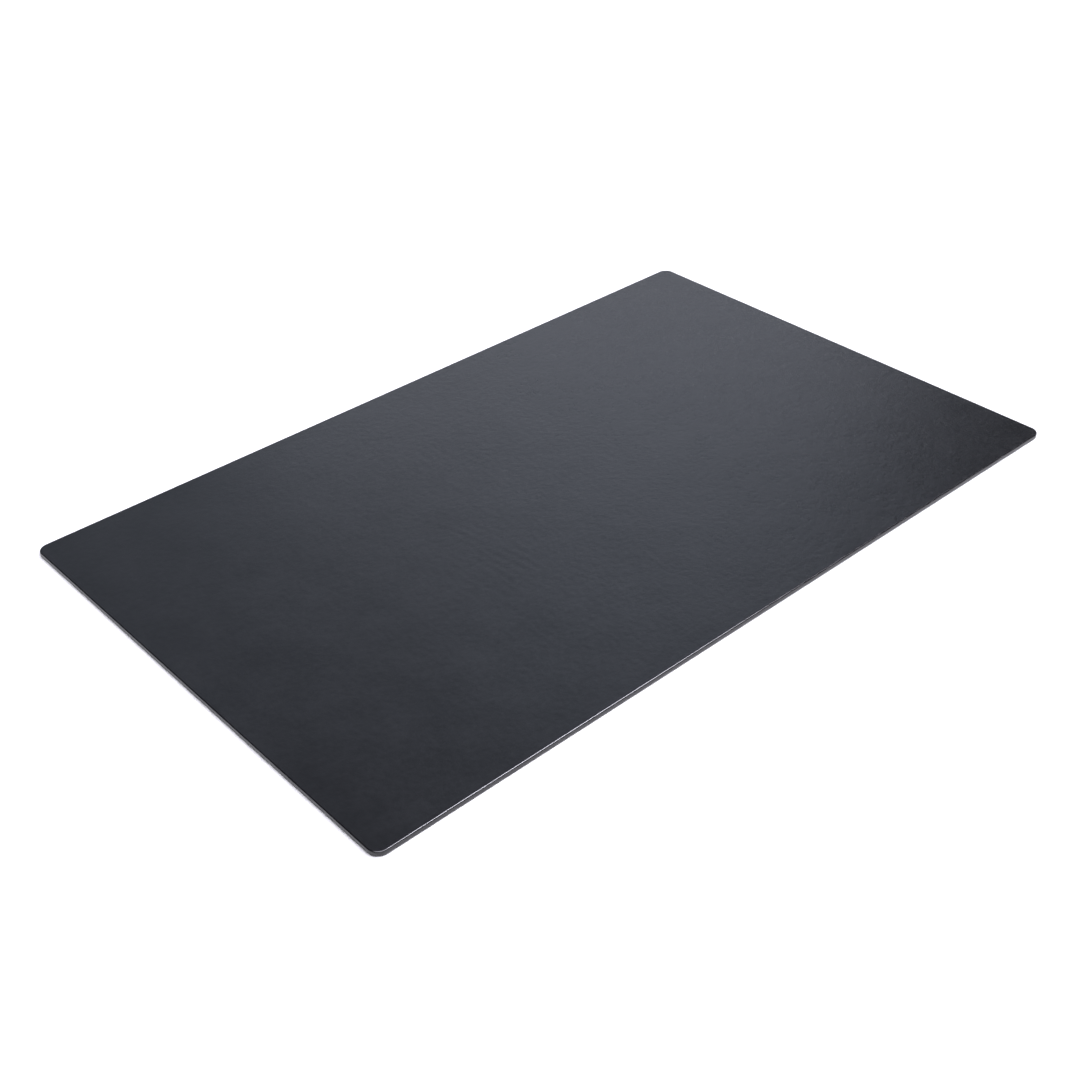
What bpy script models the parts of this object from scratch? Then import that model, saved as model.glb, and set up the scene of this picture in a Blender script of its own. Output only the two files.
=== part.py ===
"""Desk mat: a stiff board wrapped in black leatherette, with a felt underside.

The mat lies flat on a desk. Its origin is the middle of its underside. +X runs
along its long side, +Y towards its back edge and +Z up. Lengths are in metres.

From the desk upwards the mat is a stack of glued layers:
backing, turned-in edge of the cover with the levelling card inside it,
core board, interlining, top of the cover.
"""

import math

import bmesh
import bpy

# The whole mat.
LENGTH = 0.965
DEPTH = 0.610
HEIGHT = 0.00635
CORNER_RADIUS = 0.0127

# The layers, and the glue line between two of them.
COVER_THICKNESS = 0.0008
INTERLINING_THICKNESS = 0.0005
BACKING_THICKNESS = 0.0005
GLUE_GAP = 0.0003

# How the cover bends over the edge and under the board.
TOP_EDGE_RADIUS = 0.0014
BOTTOM_EDGE_RADIUS = 0.0011
TURN_IN = 0.020

# How far the backing stays inside the mat's outline.
BACKING_MARGIN = 0.006

# Corners of the levelling card and of the turned-in edge around it.
CARD_CORNER_RADIUS = 0.001

# Heights of the layers above the desk.
COVER_BOTTOM = BACKING_THICKNESS + GLUE_GAP
CARD_BOTTOM = COVER_BOTTOM
CARD_THICKNESS = COVER_THICKNESS
BOARD_BOTTOM = COVER_BOTTOM + COVER_THICKNESS + GLUE_GAP
INTERLINING_TOP = HEIGHT - COVER_THICKNESS - GLUE_GAP
INTERLINING_BOTTOM = INTERLINING_TOP - INTERLINING_THICKNESS
BOARD_THICKNESS = INTERLINING_BOTTOM - GLUE_GAP - BOARD_BOTTOM

# How far the board and the interlining lie inside the mat's outline.
CORE_MARGIN = COVER_THICKNESS + GLUE_GAP
INTERLINING_EDGE_RADIUS = TOP_EDGE_RADIUS - CORE_MARGIN

# Fineness of the rounded shapes.
CORNER_SEGMENTS = 12
TOP_EDGE_SEGMENTS = 6
BOTTOM_EDGE_SEGMENTS = 4
SHARP_ANGLE = math.radians(40)
SAME_HEIGHT = 0.00001


def empty_scene():
    """Removes every object of the scene, so that only the mat is in it."""
    for thing in list(bpy.data.objects):
        bpy.data.objects.remove(thing, do_unlink=True)


def new_collection(name):
    """Adds a collection to the scene."""
    collection = bpy.data.collections.new(name)
    bpy.context.scene.collection.children.link(collection)
    return collection


def new_material(name, colour, roughness):
    """A non-metallic Principled material."""
    material = bpy.data.materials.new(name)
    material.use_nodes = True
    shader = material.node_tree.nodes["Principled BSDF"]
    shader.inputs["Base Color"].default_value = (*colour, 1.0)
    shader.inputs["Roughness"].default_value = roughness
    shader.inputs["Metallic"].default_value = 0.0
    return material


def upright_edges(shape):
    """The edges that run straight up."""
    return [
        edge
        for edge in shape.edges
        if abs(edge.verts[0].co.z - edge.verts[1].co.z) > SAME_HEIGHT
    ]


def rim_edges(shape, height):
    """The edges that lie at one height."""
    return [
        edge
        for edge in shape.edges
        if all(abs(vert.co.z - height) < SAME_HEIGHT for vert in edge.verts)
    ]


def round_edges(shape, edges, radius, segments):
    """Rounds edges to an arc of the given radius."""
    bmesh.ops.bevel(
        shape,
        geom=edges,
        offset=radius,
        offset_type="OFFSET",
        segments=segments,
        profile=0.5,
        affect="EDGES",
    )


def sheet_mesh(name, margin, thickness, corner_radius, top_radius=0.0, bottom_radius=0.0):
    """A flat sheet with round corners, its underside at zero height.

    The margin is how far the sheet lies inside the mat's outline.
    """
    size = (LENGTH - 2 * margin, DEPTH - 2 * margin, thickness)
    shape = bmesh.new()
    bmesh.ops.create_cube(shape, size=1.0)
    bmesh.ops.scale(shape, vec=size, verts=shape.verts)
    bmesh.ops.translate(shape, vec=(0, 0, thickness / 2), verts=shape.verts)
    round_edges(shape, upright_edges(shape), corner_radius, CORNER_SEGMENTS)
    if top_radius:
        round_edges(shape, rim_edges(shape, thickness), top_radius, TOP_EDGE_SEGMENTS)
    if bottom_radius:
        round_edges(shape, rim_edges(shape, 0.0), bottom_radius, BOTTOM_EDGE_SEGMENTS)
    mesh = bpy.data.meshes.new(name)
    shape.to_mesh(mesh)
    shape.free()
    return mesh


def add_piece(name, mesh, bottom, collection, parent, material=None):
    """Places a mesh with its underside at a height above the desk."""
    mesh.shade_smooth()
    mesh.set_sharp_from_angle(angle=SHARP_ANGLE)
    piece = bpy.data.objects.new(name, mesh)
    piece.location = (0, 0, bottom)
    piece.parent = parent
    collection.objects.link(piece)
    if material:
        mesh.materials.append(material)
    return piece


def add_opening(collection, parent):
    """The cutter that opens the cover's underside inside the turned-in edge."""
    height = COVER_THICKNESS * 2
    mesh = sheet_mesh("underside_opening", TURN_IN, height, CARD_CORNER_RADIUS)
    bottom = COVER_BOTTOM - height / 2
    opening = add_piece("underside_opening", mesh, bottom, collection, parent)
    opening.hide_render = True
    opening.display_type = "WIRE"
    return opening


def add_cover(collection, parent, opening):
    """The wrapped sheet: top, rounded edge, side and turned-in edge in one."""
    mesh = sheet_mesh(
        "cover",
        margin=0.0,
        thickness=HEIGHT - COVER_BOTTOM,
        corner_radius=CORNER_RADIUS,
        top_radius=TOP_EDGE_RADIUS,
        bottom_radius=BOTTOM_EDGE_RADIUS,
    )
    leatherette = new_material("black_leatherette", (0.020, 0.022, 0.026), 0.42)
    cover = add_piece("cover", mesh, COVER_BOTTOM, collection, parent, leatherette)

    shell = cover.modifiers.new("sheet_thickness", "SOLIDIFY")
    shell.thickness = COVER_THICKNESS
    shell.offset = -1.0
    shell.use_even_offset = True

    cut = cover.modifiers.new("open_underside", "BOOLEAN")
    cut.operation = "DIFFERENCE"
    cut.solver = "EXACT"
    cut.object = opening


def add_interlining(collection, parent):
    """The foam sheet under the top of the cover."""
    mesh = sheet_mesh(
        "interlining",
        margin=CORE_MARGIN,
        thickness=INTERLINING_THICKNESS,
        corner_radius=CORNER_RADIUS - CORE_MARGIN,
        top_radius=INTERLINING_EDGE_RADIUS,
    )
    foam = new_material("grey_foam", (0.30, 0.30, 0.29), 0.95)
    add_piece("interlining", mesh, INTERLINING_BOTTOM, collection, parent, foam)


def add_core_board(collection, parent):
    """The stiff board that keeps the mat flat."""
    mesh = sheet_mesh(
        "core_board",
        margin=CORE_MARGIN,
        thickness=BOARD_THICKNESS,
        corner_radius=CORNER_RADIUS - CORE_MARGIN,
    )
    hardboard = new_material("brown_hardboard", (0.16, 0.085, 0.04), 0.75)
    add_piece("core_board", mesh, BOARD_BOTTOM, collection, parent, hardboard)


def add_levelling_card(collection, parent):
    """The card that fills the field between the turned-in edges."""
    mesh = sheet_mesh(
        "levelling_card",
        margin=TURN_IN + GLUE_GAP,
        thickness=CARD_THICKNESS,
        corner_radius=CARD_CORNER_RADIUS,
    )
    card = new_material("grey_card", (0.28, 0.26, 0.23), 0.9)
    add_piece("levelling_card", mesh, CARD_BOTTOM, collection, parent, card)


def add_backing(collection, parent):
    """The felt that touches the desk."""
    mesh = sheet_mesh(
        "backing",
        margin=BACKING_MARGIN,
        thickness=BACKING_THICKNESS,
        corner_radius=CORNER_RADIUS - BACKING_MARGIN,
    )
    felt = new_material("black_felt", (0.012, 0.012, 0.013), 1.0)
    add_piece("backing", mesh, 0.0, collection, parent, felt)


def build_desk_mat():
    """Builds the mat's pieces and the cutter for its cover."""
    empty_scene()
    parts = new_collection("desk_mat")
    cutters = new_collection("cutters")
    mat = bpy.data.objects.new("desk_mat_origin", None)
    parts.objects.link(mat)

    opening = add_opening(cutters, mat)
    add_cover(parts, mat, opening)
    add_interlining(parts, mat)
    add_core_board(parts, mat)
    add_levelling_card(parts, mat)
    add_backing(parts, mat)


build_desk_mat()
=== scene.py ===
"""The desk mat's looks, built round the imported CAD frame.

The mat lies on a pale studio floor. Its leatherette cover, foam interlining and felt backing are
modelled here as sheets. The core board and the levelling card are the CAD solids.
Lengths are in metres: +X along the mat's long side, +Y towards its back edge, +Z up.
"""

import math

import bpy
import numpy as np
from mathutils import Matrix, Vector


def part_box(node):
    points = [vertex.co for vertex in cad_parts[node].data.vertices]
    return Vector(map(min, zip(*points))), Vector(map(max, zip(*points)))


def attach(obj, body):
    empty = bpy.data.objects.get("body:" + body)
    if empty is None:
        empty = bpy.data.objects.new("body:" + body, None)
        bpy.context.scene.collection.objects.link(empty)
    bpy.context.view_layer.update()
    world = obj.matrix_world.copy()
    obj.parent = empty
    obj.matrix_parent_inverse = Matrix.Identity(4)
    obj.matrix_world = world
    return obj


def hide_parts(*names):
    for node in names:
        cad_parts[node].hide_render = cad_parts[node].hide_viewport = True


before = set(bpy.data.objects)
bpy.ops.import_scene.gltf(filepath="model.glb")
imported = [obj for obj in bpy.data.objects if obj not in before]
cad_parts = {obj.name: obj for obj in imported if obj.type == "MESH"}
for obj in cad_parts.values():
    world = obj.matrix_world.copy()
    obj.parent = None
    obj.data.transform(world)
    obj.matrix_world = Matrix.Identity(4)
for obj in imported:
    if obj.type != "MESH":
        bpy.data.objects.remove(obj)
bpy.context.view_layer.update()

# The cover's shape, as the CAD has it.
COVER_THICKNESS = 0.0008
CORNER_RADIUS = 0.0127
TOP_EDGE_RADIUS = 0.0014
BOTTOM_EDGE_RADIUS = 0.0011
TURN_IN = 0.020

# Insets of the loops on the cover's top and underside, between its edge and its flat fields.
TOP_INSETS = (0.0095, 0.0070, 0.0048, 0.0032, 0.0022, TOP_EDGE_RADIUS)
UNDER_INSETS = (0.0018, 0.0028, 0.0042, 0.0060, 0.0085)
# The last inset at which a loop's corners follow the outline's. Further in they have the least radius.
LAST_ROUND_INSET = 0.0112
LEAST_RADIUS = 0.0006

# Unevenness of the cover's top: height, wavelength, number of waves and seed.
UNEVENNESS = (
    (0.000070, 0.170, 14, 3),
    (0.000018, 0.050, 30, 5),
    (0.000008, 0.022, 40, 7),
)
# The relief fades to nothing from the second inset to the first, towards the edge.
RELIEF_FADE = (0.002, 0.022)

# Pressed lines on the top: start, end, half-width, depth and how far each is scuffed pale.
MARKS = (
    ((0.449, 0.221), (0.403, -0.297), 0.0022, 0.000040, 0.16),
    ((0.435, -0.178), (0.421, -0.303), 0.0018, 0.000040, 0.22),
    ((-0.185, -0.2785), (0.345, -0.2775), 0.0014, 0.000020, 0.10),
    ((-0.100, 0.102), (0.290, 0.106), 0.0045, 0.000022, 0.0),
)
# Each line fades over this length at both ends.
MARK_FADE = 0.045

# The patch of fine wrinkles, whose crests run from front to back. Angles are in degrees.
WRINKLES_MIDDLE = (-0.135, -0.105)
WRINKLES_REACH = (0.052, 0.135)
WRINKLE_SPACING = 0.0105
WRINKLE_HEIGHT = 0.000020
WRINKLE_HEADING = 9
WRINKLE_SPREAD = 9

# Grid of the cover's top: cells along x and y, and bands (start, end, cell) where it is finer.
TOP_CELLS = (0.0050, 0.0045)
FINE_ALONG_X = ((-0.190, -0.080, 0.0020), (0.396, 0.456, 0.0016))
FINE_ALONG_Y = ((-0.2840, -0.2720, 0.0010), (0.094, 0.114, 0.0025))

# How the cover is gathered round a corner, and how far its side wavers.
PLEATS = 7
PLEAT_DEPTH = 0.00020
PUCKER_DEPTH = 0.00007
SIDE_WAVE = 0.00003
SIDE_WAVELENGTH = 0.045

# Sizes of the leatherette's pebbles, of its mottle and of the clouds in its gloss. The height is
# what a grain of 1 stands for.
GRAIN_SIZE = 0.0012
MOTTLE_SIZE = 0.0070
CLOUD_SIZE = 0.050
GRAIN_HEIGHT = 0.00003

# Insets between which a pleat under the mat rises, and between which it dies away again.
PLEAT_RISE = (0.0010, 0.0035)
PLEAT_END = (0.019, 0.008)
# How far below the top and above the bottom edge the puckers on the side begin and end.
PUCKER_START = 0.0015
PUCKER_END = 0.0005

# Points nearer to the outline than this are on the side.
SIDE_REACH = 0.0004

SHARP_ANGLE = math.radians(50)
# Points closer than this count as being in the same place.
SAME_PLACE = 1e-7

# The felt and the foam: how far their edges are rounded, their grid's cell, and the insets of the
# loops between the grid and the rounding.
FELT_ROUNDING = 0.00025
FELT_CELL = 0.008
FELT_INSETS = (0.004, 0.002)
FOAM_ROUNDING = 0.0003
FOAM_CELL = 0.012
FOAM_INSETS = (0.004,)
# The rounding has one loop at this share of its width and depth, and the back one at this inset.
ROUNDING_SHARE = 0.3
BACK_INSET = 0.001

COVER_LOW, COVER_HIGH = (np.array(corner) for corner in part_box("cover"))
FELT_LOW, FELT_HIGH = (np.array(corner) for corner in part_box("backing"))
FOAM_LOW, FOAM_HIGH = (np.array(corner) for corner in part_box("interlining"))

# The four sides of the mat in the order in which a loop runs round it: the way each one faces.
FACINGS = ((0, -1), (1, 0), (0, 1), (-1, 0))


def smoothstep(low, high, value):
    """0 below low, 1 above high and a smooth ramp between them."""
    share = np.clip((value - low) / (high - low), 0.0, 1.0)
    return share * share * (3 - 2 * share)


# ---------------------------------------------------------------- sheets with round corners


def grid_lines(reach, cell, fine_bands=()):
    """Positions from -reach to reach, a cell apart, and closer together within the fine bands.

    A fine band is (start, end, cell within it).
    """
    positions = [-reach]
    for start, end, step in (*fine_bands, (reach, reach, cell)):
        for stop, spacing in ((start, cell), (end, step)):
            count = round((stop - positions[-1]) / spacing)
            if count:
                positions += np.linspace(positions[-1], stop, count + 1)[1:].tolist()
    return np.array(positions)


class SheetMesh:
    """A thin closed sheet: a grid on its showing face, and loops of points round its edge.

    Each loop has an inset from the outline and a height. The last loop is closed by one flat face.
    """

    def __init__(self, half_size, lines, corner_steps):
        self.half_size = np.array(half_size)
        self.corner_steps = corner_steps
        self.lines = lines
        self.points = []
        self.faces = []
        self.count = 0

    def add_points(self, points):
        """Adds an array of points and returns the number of the first."""
        first = self.count
        self.points.append(points)
        self.count += len(points)
        return first

    def add_grid(self, height):
        """The flat field inside the corner centres. Returns the point numbers round its rim."""
        x, y = np.meshgrid(*self.lines, indexing="ij")
        z = np.full(x.size, height)
        first = self.add_points(np.column_stack([x.ravel(), y.ravel(), z]))
        number = first + np.arange(x.size).reshape(x.shape)
        quads = np.stack(
            [number[:-1, :-1], number[1:, :-1], number[1:, 1:], number[:-1, 1:]], axis=-1
        )
        self.faces += quads.reshape(-1, 4).tolist()
        sides = (number[:, 0], number[-1, :], number[::-1, -1], number[0, ::-1])
        rim = []
        for side in sides:
            rim += side[:-1].tolist()
            rim += [int(side[-1])] * self.corner_steps
        return rim

    def side_shares(self):
        """Where the grid lines meet each of the four sides, as shares of the side's length."""
        shares = []
        for line in self.lines:
            share = (line - line[0]) / (line[-1] - line[0])
            shares.append((share[:-1], (1 - share[::-1])[:-1]))
        (x_forth, x_back), (y_forth, y_back) = shares
        return x_forth, y_forth, x_back, y_back

    def add_loop(self, inset, height, corner_radius):
        """One loop round the mat. Returns its point numbers."""
        centre = self.half_size - inset - corner_radius
        points = []
        for facing, share in zip(np.array(FACINGS), self.side_shares()):
            along = np.array([-facing[1], facing[0]])
            start = centre * (facing - along)
            end = centre * (facing + along)
            points.append(start + (end - start) * share[:, None] + facing * corner_radius)
            turn = np.arange(self.corner_steps)[:, None] / self.corner_steps * math.pi / 2
            points.append(end + corner_radius * (np.cos(turn) * facing + np.sin(turn) * along))
        flat = np.vstack(points)
        first = self.add_points(np.column_stack([flat, np.full(len(flat), height)]))
        return list(range(first, first + len(flat)))

    def join(self, inner, outer):
        """Faces between two loops, the inner one first."""
        for here in range(len(outer)):
            after = (here + 1) % len(outer)
            face = [inner[here], outer[here], outer[after], inner[after]]
            if inner[here] == inner[after]:
                face = face[:3]
            self.faces.append(face)

    def build(self, profile):
        """The whole sheet from the (inset, height, corner radius) of each loop after the grid."""
        last = self.add_grid(profile[0][1])
        for inset, height, corner_radius in profile:
            loop = self.add_loop(inset, height, corner_radius)
            self.join(last, loop)
            last = loop
        self.faces.append(last[::-1])
        return np.vstack(self.points)


def sheet_object(name, sheet, points, face_down=False):
    """The Blender object of a built sheet."""
    faces = [face[::-1] for face in sheet.faces] if face_down else sheet.faces
    mesh = bpy.data.meshes.new(name)
    mesh.from_pydata(points.tolist(), [], faces)
    mesh.shade_smooth()
    mesh.set_sharp_from_angle(angle=SHARP_ANGLE)
    piece = bpy.data.objects.new(name, mesh)
    bpy.context.scene.collection.objects.link(piece)
    return piece


def arc(start_inset, start_height, radius, steps, to_outline):
    """(inset, height) round a quarter turn: down to the side, or from the side to the underside."""
    turns = np.linspace(0, math.pi / 2, steps + 1)[1:]
    if to_outline:
        return [
            (start_inset - radius * math.sin(turn), start_height - radius * (1 - math.cos(turn)))
            for turn in turns
        ]
    return [
        (start_inset + radius * (1 - math.cos(turn)), start_height - radius * math.sin(turn))
        for turn in turns
    ]


def wave_field(x, y, wavelength, count, seed, heading=0.0, spread=180.0):
    """A smooth random field of about unit size: plane waves that head within a spread of degrees."""
    random = np.random.default_rng(seed)
    total = np.zeros_like(x)
    for _ in range(count):
        course = math.radians(heading + random.uniform(-spread, spread))
        number = 2 * math.pi / (wavelength * random.uniform(0.75, 1.35))
        phase = random.uniform(0, 2 * math.pi)
        total += np.cos(number * (x * math.cos(course) + y * math.sin(course)) + phase)
    return total * math.sqrt(2 / count)


# ---------------------------------------------------------------- camera, stage and light

# The camera's angles are in degrees, its distance in metres and its lens in millimetres.
CAMERA_AZIMUTH = -40.574
CAMERA_ELEVATION = 35.513
CAMERA_ROLL = -2.034
CAMERA_DISTANCE = 1.7443
CAMERA_LENS = 51.859
# How far right of and above the mat's middle the picture's middle lies. Less than 0 is left or below.
LOOK_RIGHT = -0.0199
LOOK_UP = -0.0534

# Where the floor's level part and its slope end: reach from the mat's middle, and height.
LEVEL_END = (12.0, 0.0)
SLOPE_END = (14.0, 2.1)

# The soft lights behind the mat, whose reflection is the sheen on its top: place, width and
# height, radiance and colour.
SOFTBOXES = (
    ("behind_low", (1.37, 1.46, 0.73), (1.69, 0.70), 1.085, (0.921, 0.965, 1.113)),
    ("behind_left", (0.46, 1.86, 1.23), (1.23, 1.34), 0.455, (0.845, 0.970, 1.175)),
    ("behind_high", (1.55, 1.31, 1.60), (1.14, 1.12), 0.887, (0.847, 0.970, 1.180)),
)


def add_camera():
    """The camera: it looks down on the mat from beyond its front left corner."""
    azimuth = math.radians(CAMERA_AZIMUTH)
    elevation = math.radians(CAMERA_ELEVATION)
    back = Vector(
        (
            math.sin(azimuth) * math.cos(elevation),
            -math.cos(azimuth) * math.cos(elevation),
            math.sin(elevation),
        )
    )
    upright = back.to_track_quat("Z", "Y").to_matrix()
    turned = upright @ Matrix.Rotation(math.radians(CAMERA_ROLL), 3, "Z")
    place = back * CAMERA_DISTANCE + turned @ Vector((LOOK_RIGHT, LOOK_UP, 0))
    camera_data = bpy.data.cameras.new("camera")
    camera_data.lens = CAMERA_LENS
    camera_data.sensor_width = 36.0
    camera = bpy.data.objects.new("camera", camera_data)
    camera.matrix_world = Matrix.Translation(place) @ turned.to_4x4()
    bpy.context.scene.collection.objects.link(camera)
    bpy.context.scene.camera = camera


def link_light(light, direction, place=(0, 0, 0)):
    """Puts a light in the scene, shining along a direction."""
    holder = bpy.data.objects.new(light.name, light)
    holder.location = place
    holder.rotation_mode = "QUATERNION"
    holder.rotation_quaternion = Vector(direction).to_track_quat("-Z", "Y")
    bpy.context.scene.collection.objects.link(holder)


def add_softbox(name, place, size, radiance, colour):
    """A rectangular soft light at a place, aimed at the mat's middle."""
    light = bpy.data.lights.new(name, "AREA")
    light.shape = "RECTANGLE"
    light.size, light.size_y = size
    light.energy = radiance * math.pi * size[0] * size[1]
    light.color = colour
    link_light(light, -Vector(place), place)


def add_distant_light(name, azimuth, elevation, spread, strength, colour):
    """A broad, distant light from an azimuth (0 is +X, 90 is +Y) and an elevation, in degrees."""
    light = bpy.data.lights.new(name, "SUN")
    light.energy = strength
    light.angle = math.radians(spread)
    light.color = colour
    turn, lift = math.radians(azimuth), math.radians(elevation)
    towards = Vector((math.cos(turn) * math.cos(lift), math.sin(turn) * math.cos(lift), math.sin(lift)))
    link_light(light, -towards)


def add_world(strength):
    """An even, neutral surround."""
    world = bpy.data.worlds.new("studio")
    world.use_nodes = True
    background = world.node_tree.nodes["Background"]
    background.inputs["Color"].default_value = (1.0, 1.0, 1.0, 1.0)
    background.inputs["Strength"].default_value = strength
    bpy.context.scene.world = world


def add_floor():
    """A plain, nearly white floor that slopes up far from the mat on all four sides."""
    corners = []
    for reach, height in (LEVEL_END, SLOPE_END):
        corners += [(reach * x, reach * y, height) for x, y in ((-1, -1), (1, -1), (1, 1), (-1, 1))]
    slopes = [(4 + here, 4 + (here + 1) % 4, (here + 1) % 4, here) for here in range(4)]
    mesh = bpy.data.meshes.new("floor")
    mesh.from_pydata(corners, [], [(0, 1, 2, 3)] + slopes)
    floor = bpy.data.objects.new("floor", mesh)
    bpy.context.scene.collection.objects.link(floor)
    material = bpy.data.materials.new("floor_white")
    material.use_nodes = True
    shader = material.node_tree.nodes["Principled BSDF"]
    shader.inputs["Base Color"].default_value = (0.870, 0.875, 0.835, 1.0)
    shader.inputs["Roughness"].default_value = 0.9
    shader.inputs["Specular IOR Level"].default_value = 0.0
    mesh.materials.append(material)


def add_lights():
    """The studio: a key from the right, a broad light overhead and three softboxes behind."""
    add_world(strength=0.02)
    pale = (0.955, 0.94, 1.07)
    add_distant_light("key", azimuth=-25, elevation=58, spread=17, strength=2.25, colour=pale)
    add_distant_light("overhead", azimuth=-102, elevation=72, spread=60, strength=3.95, colour=pale)
    for name, place, size, radiance, colour in SOFTBOXES:
        add_softbox(name, place, size, radiance, colour)


# ---------------------------------------------------------------- materials


class Nodes:
    """Short calls for wiring a Principled material."""

    def __init__(self, name):
        self.material = bpy.data.materials.new(name)
        self.material.use_nodes = True
        self.tree = self.material.node_tree
        self.shader = self.tree.nodes["Principled BSDF"]
        coordinates = self.add("ShaderNodeTexCoord")
        self.place = coordinates.outputs["Object"]
        self.normal = coordinates.outputs["Normal"]

    def add(self, kind, **settings):
        """A node with some of its settings."""
        node = self.tree.nodes.new(kind)
        for name, value in settings.items():
            setattr(node, name, value)
        return node

    def put(self, socket, value):
        """Feeds a socket from another socket, or sets it to a value."""
        if isinstance(value, bpy.types.NodeSocket):
            self.tree.links.new(value, socket)
        else:
            socket.default_value = value

    def math(self, operation, first, second=0.0):
        """One arithmetic step."""
        node = self.add("ShaderNodeMath", operation=operation)
        self.put(node.inputs[0], first)
        self.put(node.inputs[1], second)
        return node.outputs[0]

    def total(self, *terms):
        """The sum of (value, factor) terms."""
        products = [self.math("MULTIPLY", value, factor) for value, factor in terms]
        result = products[0]
        for product in products[1:]:
            result = self.math("ADD", result, product)
        return result

    def component(self, vector, axis):
        """One of a vector's three numbers."""
        node = self.add("ShaderNodeSeparateXYZ")
        self.put(node.inputs[0], vector)
        return node.outputs[axis]

    def remap(self, value, low, high, to_low, to_high):
        """A value taken smoothly from one range to another."""
        node = self.add("ShaderNodeMapRange", interpolation_type="SMOOTHSTEP")
        for socket, amount in zip(node.inputs[:5], (value, low, high, to_low, to_high)):
            self.put(socket, amount)
        return node.outputs["Result"]

    def noise(self, scale, detail=2.0, roughness=0.5, place=None):
        """Cloudy noise from 0 to 1."""
        node = self.add("ShaderNodeTexNoise")
        self.put(node.inputs["Vector"], place or self.place)
        node.inputs["Scale"].default_value = scale
        node.inputs["Detail"].default_value = detail
        node.inputs["Roughness"].default_value = roughness
        return node.outputs["Fac"]

    def voronoi(self, scale, feature, place=None):
        """Distance to the nearest cell point, or to the nearest cell edge."""
        node = self.add("ShaderNodeTexVoronoi", feature=feature)
        self.put(node.inputs["Vector"], place or self.place)
        node.inputs["Scale"].default_value = scale
        return node.outputs["Distance"]

    def mix(self, share, first, second):
        """A mix of two colours."""
        node = self.add("ShaderNodeMix", data_type="RGBA")
        self.put(node.inputs["Factor"], share)
        self.put(node.inputs["A"], first)
        self.put(node.inputs["B"], second)
        return node.outputs["Result"]

    def warped(self, scale, amount):
        """The place, pushed about by noise so that a pattern on it isn't regular."""
        noise = self.add("ShaderNodeTexNoise")
        self.put(noise.inputs["Vector"], self.place)
        noise.inputs["Scale"].default_value = scale
        noise.inputs["Detail"].default_value = 1.0
        push = self.add("ShaderNodeVectorMath", operation="MULTIPLY_ADD")
        self.put(push.inputs[0], noise.outputs["Color"])
        push.inputs[1].default_value = (amount,) * 3
        self.put(push.inputs[2], self.place)
        return push.outputs["Vector"]

    def bump(self, height, distance):
        """A bump on the shader's normal. The distance is what a height of 1 stands for, in metres."""
        node = self.add("ShaderNodeBump")
        self.put(node.inputs["Height"], height)
        node.inputs["Distance"].default_value = distance
        node.inputs["Strength"].default_value = 1.0
        self.put(self.shader.inputs["Normal"], node.outputs["Normal"])


def scuff(nodes, start, end, half_width):
    """1 on a straight line over the top, 0 beside it, fading towards both ends."""
    ahead = (Vector(end) - Vector(start)).normalized()
    x, y = (nodes.component(nodes.place, axis) for axis in "XY")
    across = nodes.total((x, -ahead.y), (y, ahead.x))
    offset = start[1] * ahead.x - start[0] * ahead.y
    beside = nodes.math("ABSOLUTE", nodes.math("SUBTRACT", across, offset))
    along = nodes.total((x, ahead.x), (y, ahead.y))
    begin, finish = Vector(start).dot(ahead), Vector(end).dot(ahead)
    result = nodes.remap(beside, 0.0, half_width, 1.0, 0.0)
    result = nodes.math("MULTIPLY", result, nodes.remap(along, begin, begin + MARK_FADE, 0.0, 1.0))
    return nodes.math("MULTIPLY", result, nodes.remap(along, finish - MARK_FADE, finish, 1.0, 0.0))


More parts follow.
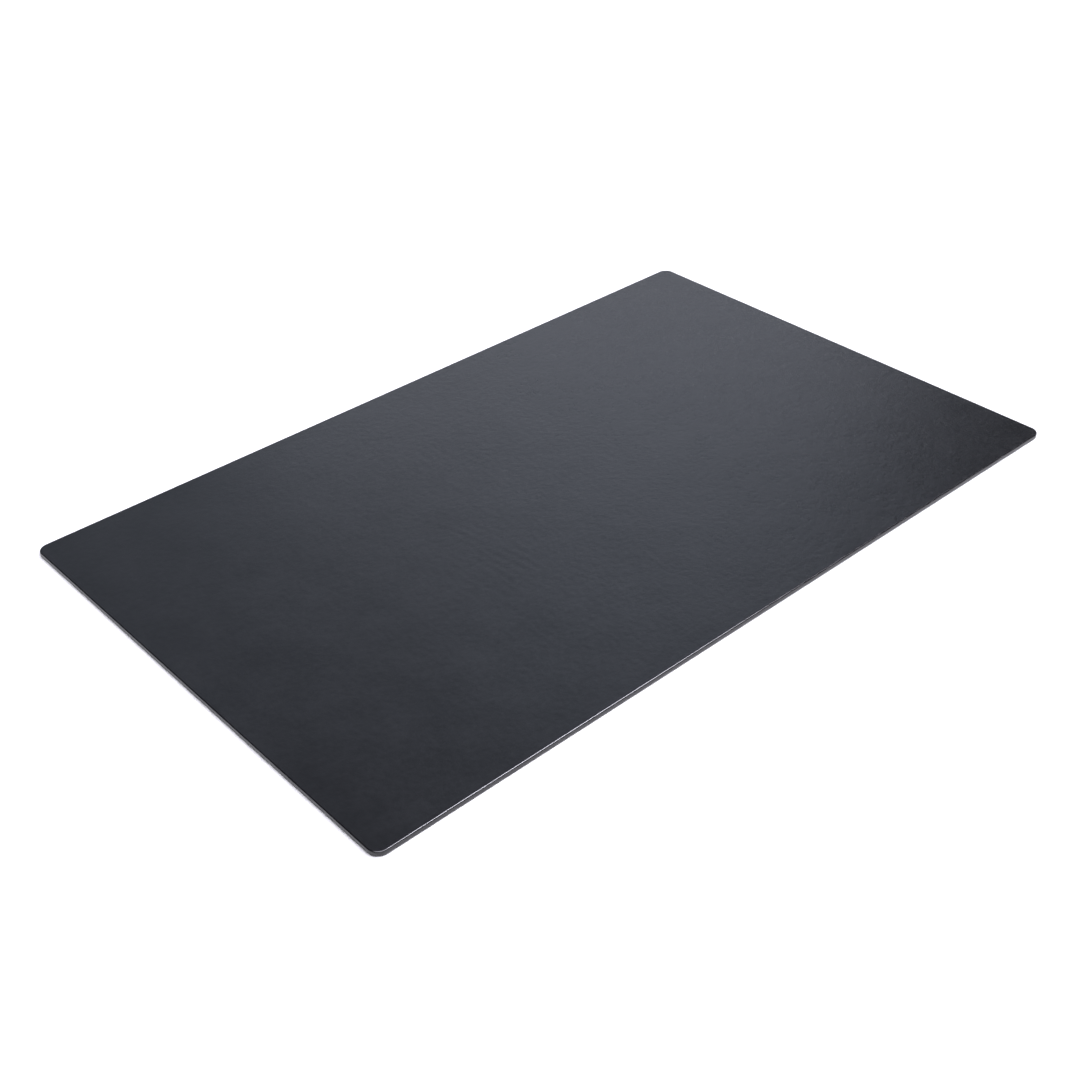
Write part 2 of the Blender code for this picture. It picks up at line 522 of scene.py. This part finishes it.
def leatherette():
    """Black leatherette: fine pebbled grain, cloudy gloss, faint scuffs and a rubbed upper edge."""
    nodes = Nodes("leatherette_black")
    place = nodes.warped(1 / (2 * GRAIN_SIZE), 0.9 * GRAIN_SIZE)
    gap = nodes.voronoi(1 / GRAIN_SIZE, "DISTANCE_TO_EDGE", place)
    pebble = nodes.remap(gap, 0.0, 0.26, 0.0, 1.0)
    pores = nodes.noise(1 / (0.3 * GRAIN_SIZE), 2.0)
    mottle = nodes.noise(1 / MOTTLE_SIZE, 3.0, 0.55)
    cloud = nodes.noise(1 / CLOUD_SIZE, 3.0, 0.6)

    upward = nodes.component(nodes.normal, "Z")
    off_the_top = nodes.remap(upward, 0.995, 0.93, 0.0, 1.0)
    off_the_side = nodes.remap(upward, 0.05, 0.35, 0.0, 1.0)
    upper_edge = nodes.math("MULTIPLY", off_the_top, off_the_side)

    relief = nodes.total((pebble, 0.8), (pores, 0.4), (mottle, 6.5))
    # The grain stands out more towards the right end and is rubbed flat on the upper edge.
    coarseness = nodes.remap(nodes.component(nodes.place, "X"), -0.45, 0.45, 0.75, 2.0)
    strength = nodes.math("MULTIPLY", coarseness, nodes.remap(upper_edge, 0.0, 1.0, 1.0, 0.12))
    nodes.bump(nodes.math("MULTIPLY", relief, strength), GRAIN_HEIGHT)

    tone = nodes.remap(nodes.total((cloud, 0.6), (mottle, 0.4)), 0.35, 0.65, 0.0, 1.0)
    colour = nodes.mix(tone, (0.0032, 0.0033, 0.0039, 1), (0.0048, 0.0050, 0.0058, 1))
    scuffs = [
        (scuff(nodes, start, end, half_width), paleness)
        for start, end, half_width, _, paleness in MARKS
        if paleness
    ]
    broken = nodes.remap(nodes.noise(90, 3.0), 0.35, 0.65, 0.3, 1.0)
    scuffed = nodes.math("MULTIPLY", nodes.total(*scuffs), broken)
    colour = nodes.mix(scuffed, colour, (0.030, 0.030, 0.032, 1))
    worn = nodes.remap(nodes.noise(260, 3.0), 0.45, 0.7, 0.0, 0.25)
    rubbed = nodes.math("MULTIPLY", upper_edge, worn)
    colour = nodes.mix(rubbed, colour, (0.022, 0.023, 0.026, 1))
    nodes.put(nodes.shader.inputs["Base Color"], colour)

    dullness = nodes.total(
        (pebble, -0.06), (cloud, 0.06), (mottle, 0.05), (upper_edge, -0.19), (coarseness, -0.035)
    )
    nodes.put(nodes.shader.inputs["Roughness"], nodes.math("ADD", dullness, 0.345))
    shine = nodes.total((mottle, 0.06), (cloud, 0.06), (upper_edge, 0.22))
    nodes.put(nodes.shader.inputs["Specular IOR Level"], nodes.math("ADD", shine, 0.44))
    nodes.shader.inputs["IOR"].default_value = 1.5
    return nodes.material


def felt():
    """Black felt: matted fibres with a soft sheen."""
    nodes = Nodes("felt_black")
    fibres = nodes.noise(2600, 3.0, 0.65, nodes.warped(600, 0.001))
    tufts = nodes.noise(320, 3.0, 0.6)
    nodes.bump(nodes.math("ADD", fibres, tufts), 0.00018)
    tone = nodes.remap(fibres, 0.3, 0.7, 0.0, 1.0)
    colour = nodes.mix(tone, (0.009, 0.009, 0.010, 1), (0.028, 0.028, 0.030, 1))
    nodes.put(nodes.shader.inputs["Base Color"], colour)
    nodes.shader.inputs["Roughness"].default_value = 0.95
    nodes.shader.inputs["Sheen Weight"].default_value = 0.35
    nodes.shader.inputs["Sheen Roughness"].default_value = 0.5
    return nodes.material


def foam():
    """Grey foam: fine open cells, with painted shade in their hollows."""
    nodes = Nodes("foam_grey")
    cells = nodes.voronoi(2200, "F1")
    nodes.bump(cells, 0.00015)
    # Painted shade: the cell hollows are coloured darker than the walls between them.
    wall_vs_painted_pore_shade = nodes.remap(cells, 0.1, 0.6, 0.0, 1.0)
    colour = nodes.mix(wall_vs_painted_pore_shade, (0.16, 0.16, 0.155, 1), (0.34, 0.34, 0.33, 1))
    nodes.put(nodes.shader.inputs["Base Color"], colour)
    nodes.shader.inputs["Roughness"].default_value = 0.95
    return nodes.material


def hardboard():
    """Brown hardboard: pressed fibres and darker flecks."""
    nodes = Nodes("hardboard_brown")
    fibres = nodes.noise(900, 4.0, 0.7, nodes.warped(90, 0.006))
    flecks = nodes.remap(nodes.noise(420, 1.0), 0.62, 0.7, 0.0, 1.0)
    colour = nodes.mix(fibres, (0.10, 0.052, 0.026, 1), (0.24, 0.135, 0.070, 1))
    colour = nodes.mix(nodes.math("MULTIPLY", flecks, 0.6), colour, (0.045, 0.022, 0.012, 1))
    nodes.put(nodes.shader.inputs["Base Color"], colour)
    nodes.bump(fibres, 0.00008)
    nodes.put(nodes.shader.inputs["Roughness"], nodes.remap(fibres, 0.2, 0.8, 0.6, 0.85))
    return nodes.material


def grey_card():
    """Grey card: recycled paper fibres and pale specks."""
    nodes = Nodes("card_grey")
    pulp = nodes.noise(700, 4.0, 0.65)
    specks = nodes.remap(nodes.noise(1300, 1.0), 0.66, 0.72, 0.0, 1.0)
    colour = nodes.mix(pulp, (0.20, 0.185, 0.165, 1), (0.34, 0.32, 0.29, 1))
    colour = nodes.mix(nodes.math("MULTIPLY", specks, 0.5), colour, (0.55, 0.53, 0.50, 1))
    nodes.put(nodes.shader.inputs["Base Color"], colour)
    nodes.bump(pulp, 0.00005)
    nodes.put(nodes.shader.inputs["Roughness"], nodes.remap(pulp, 0.2, 0.8, 0.8, 0.95))
    return nodes.material


# ---------------------------------------------------------------- the pieces


def cover_profile():
    """(inset, height, corner radius) of the loops from the top, round the edge and back up inside."""
    top, bottom = COVER_HIGH[2], COVER_LOW[2]
    inner_top, inner_bottom = top - COVER_THICKNESS, bottom + COVER_THICKNESS
    path = [(inset, top) for inset in TOP_INSETS]
    path += arc(TOP_EDGE_RADIUS, top, TOP_EDGE_RADIUS, 8, to_outline=True)
    side = np.linspace(top - TOP_EDGE_RADIUS, bottom + BOTTOM_EDGE_RADIUS, 5)[1:]
    path += [(0.0, height) for height in side]
    path += arc(0.0, bottom + BOTTOM_EDGE_RADIUS, BOTTOM_EDGE_RADIUS, 6, to_outline=False)
    path += [(inset, bottom) for inset in (*UNDER_INSETS, LAST_ROUND_INSET, TURN_IN)]
    path += [(TURN_IN, inner_bottom), (LAST_ROUND_INSET, inner_bottom)]
    path += [(BOTTOM_EDGE_RADIUS, inner_bottom), (COVER_THICKNESS, bottom + BOTTOM_EDGE_RADIUS)]
    path += [(COVER_THICKNESS, top - TOP_EDGE_RADIUS)]
    inner_radius = TOP_EDGE_RADIUS - COVER_THICKNESS
    for turn in (math.radians(60), math.radians(30), 0.0):
        inset = COVER_THICKNESS + inner_radius * (1 - math.sin(turn))
        path.append((inset, inner_top - inner_radius * (1 - math.cos(turn))))
    return [(inset, height, max(CORNER_RADIUS - inset, LEAST_RADIUS)) for inset, height in path]


def edge_distance(points, half_size):
    """How far each point is inside the mat's outline, corners taken as square."""
    return (half_size - np.abs(points[:, :2])).min(axis=1)


def corner_reach(points, half_size):
    """How far each point lies beyond the centres of the corner arcs, with its sign."""
    flat = points[:, :2]
    return np.sign(flat) * np.maximum(np.abs(flat) - (half_size - CORNER_RADIUS), 0)


def outward(points, half_size):
    """The direction straight out of the mat's side at each point."""
    reach = corner_reach(points, half_size)
    length = np.linalg.norm(reach, axis=1, keepdims=True)
    return reach / np.maximum(length, SAME_PLACE)


def pleats(points, half_size):
    """Folds round the corners: 0 in the valleys and along the sides, 1 on a ridge."""
    reach = np.abs(corner_reach(points, half_size))
    in_corner = (reach > SAME_PLACE).all(axis=1)
    turn = np.arctan2(reach[:, 1], reach[:, 0]) / (math.pi / 2)
    corner = 1.7 * np.sign(points[:, 0]) + 0.6 * np.sign(points[:, 1])
    uneven = turn + 0.05 * np.sin(2 * math.pi * turn) * np.cos(3 * math.pi * turn + corner)
    return np.where(in_corner, np.sin(math.pi * PLEATS * uneven) ** 2, 0.0)


def pressed_line(x, y, start, end, half_width, depth):
    """A shallow groove along a straight line that fades towards both ends."""
    start, end = np.array(start), np.array(end)
    length = np.linalg.norm(end - start)
    ahead = (end - start) / length
    along = (x - start[0]) * ahead[0] + (y - start[1]) * ahead[1]
    across = (y - start[1]) * ahead[0] - (x - start[0]) * ahead[1]
    fade = smoothstep(0, MARK_FADE, along) * smoothstep(0, MARK_FADE, length - along)
    return -depth * fade * np.exp(-((across / half_width) ** 2))


def cover_relief(x, y):
    """The slight unevenness of the cover's top, in metres."""
    relief = np.zeros_like(x)
    for height, wavelength, count, seed in UNEVENNESS:
        relief += height * wave_field(x, y, wavelength, count, seed)
    near = ((x - WRINKLES_MIDDLE[0]) / WRINKLES_REACH[0]) ** 2
    near += ((y - WRINKLES_MIDDLE[1]) / WRINKLES_REACH[1]) ** 2
    wrinkles = wave_field(x, y, WRINKLE_SPACING, 9, 11, WRINKLE_HEADING, WRINKLE_SPREAD)
    relief += WRINKLE_HEIGHT * wrinkles * np.exp(-near)
    for start, end, half_width, depth, _ in MARKS:
        relief += pressed_line(x, y, start, end, half_width, depth)
    return relief


def shape_cover(points, half_size):
    """Gives the flat built cover its relief, wavy sides, puckered corners and pleats underneath."""
    x, y, z = points.T
    top, bottom = COVER_HIGH[2], COVER_LOW[2]
    inset = edge_distance(points, half_size)
    relief = cover_relief(x, y) * smoothstep(*RELIEF_FADE, inset)
    folds = pleats(points, half_size)

    on_side = smoothstep(top, top - TOP_EDGE_RADIUS, z) * (inset < SIDE_REACH)
    lowered = smoothstep(top - PUCKER_START, bottom + PUCKER_END, z)
    wave = SIDE_WAVE * (1 + 0.5 * wave_field(x, y, SIDE_WAVELENGTH, 12, seed=17))
    pull_in = on_side * (wave + PUCKER_DEPTH * folds * lowered)
    points[:, :2] -= outward(points, half_size) * pull_in[:, None]

    on_top = z > top - SAME_PLACE
    underneath = np.abs(z - bottom) < SAME_PLACE
    points[on_top, 2] += relief[on_top]
    sag = PLEAT_DEPTH * folds * smoothstep(*PLEAT_RISE, inset) * smoothstep(*PLEAT_END, inset)
    points[underneath, 2] -= sag[underneath]


def add_cover():
    """The leatherette sheet: top, rounded edge, side and the part turned under the board."""
    half_size = COVER_HIGH[:2]
    reach = half_size - CORNER_RADIUS
    lines = (
        grid_lines(reach[0], TOP_CELLS[0], FINE_ALONG_X),
        grid_lines(reach[1], TOP_CELLS[1], FINE_ALONG_Y),
    )
    sheet = SheetMesh(half_size, lines, corner_steps=48)
    points = sheet.build(cover_profile())
    shape_cover(points, half_size)
    piece = sheet_object("leatherette_cover", sheet, points)
    piece.data.materials.append(leatherette())
    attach(piece, "root")
    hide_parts("cover")


def thin_sheet(name, low, high, cell, insets, rounding, face_down=False):
    """A flat glued sheet in a box. The rim of its showing face is rounded."""
    half_size = high[:2]
    radius = CORNER_RADIUS - (COVER_HIGH[0] - high[0])
    lines = tuple(grid_lines(reach, cell) for reach in half_size - radius)
    sheet = SheetMesh(half_size, lines, corner_steps=10)
    face, back = (low[2], high[2]) if face_down else (high[2], low[2])
    depth = rounding if face_down else -rounding
    path = [(inset, face) for inset in insets]
    path += [(rounding, face), (rounding * ROUNDING_SHARE, face + depth * ROUNDING_SHARE)]
    path += [(0.0, face + depth), (0.0, back), (BACK_INSET, back)]
    points = sheet.build([(inset, height, max(radius - inset, LEAST_RADIUS)) for inset, height in path])
    return sheet_object(name, sheet, points, face_down)


def add_backing():
    """The felt glued under the board."""
    piece = thin_sheet(
        "felt_backing", FELT_LOW, FELT_HIGH, FELT_CELL, FELT_INSETS, FELT_ROUNDING, face_down=True
    )
    piece.data.materials.append(felt())
    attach(piece, "root")
    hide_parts("backing")


def add_interlining():
    """The foam between the board and the cover."""
    piece = thin_sheet("foam_interlining", FOAM_LOW, FOAM_HIGH, FOAM_CELL, FOAM_INSETS, FOAM_ROUNDING)
    piece.data.materials.append(foam())
    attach(piece, "root")
    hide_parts("interlining")


def finish_cad_node(node, material):
    """Gives a carried-over CAD solid its material."""
    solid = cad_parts[node]
    for slot in solid.material_slots:
        slot.material = material


bpy.context.scene.view_settings.view_transform = "Standard"
add_camera()
add_floor()
add_lights()
add_cover()
add_backing()
add_interlining()
finish_cad_node("core_board", hardboard())
finish_cad_node("levelling_card", grey_card())
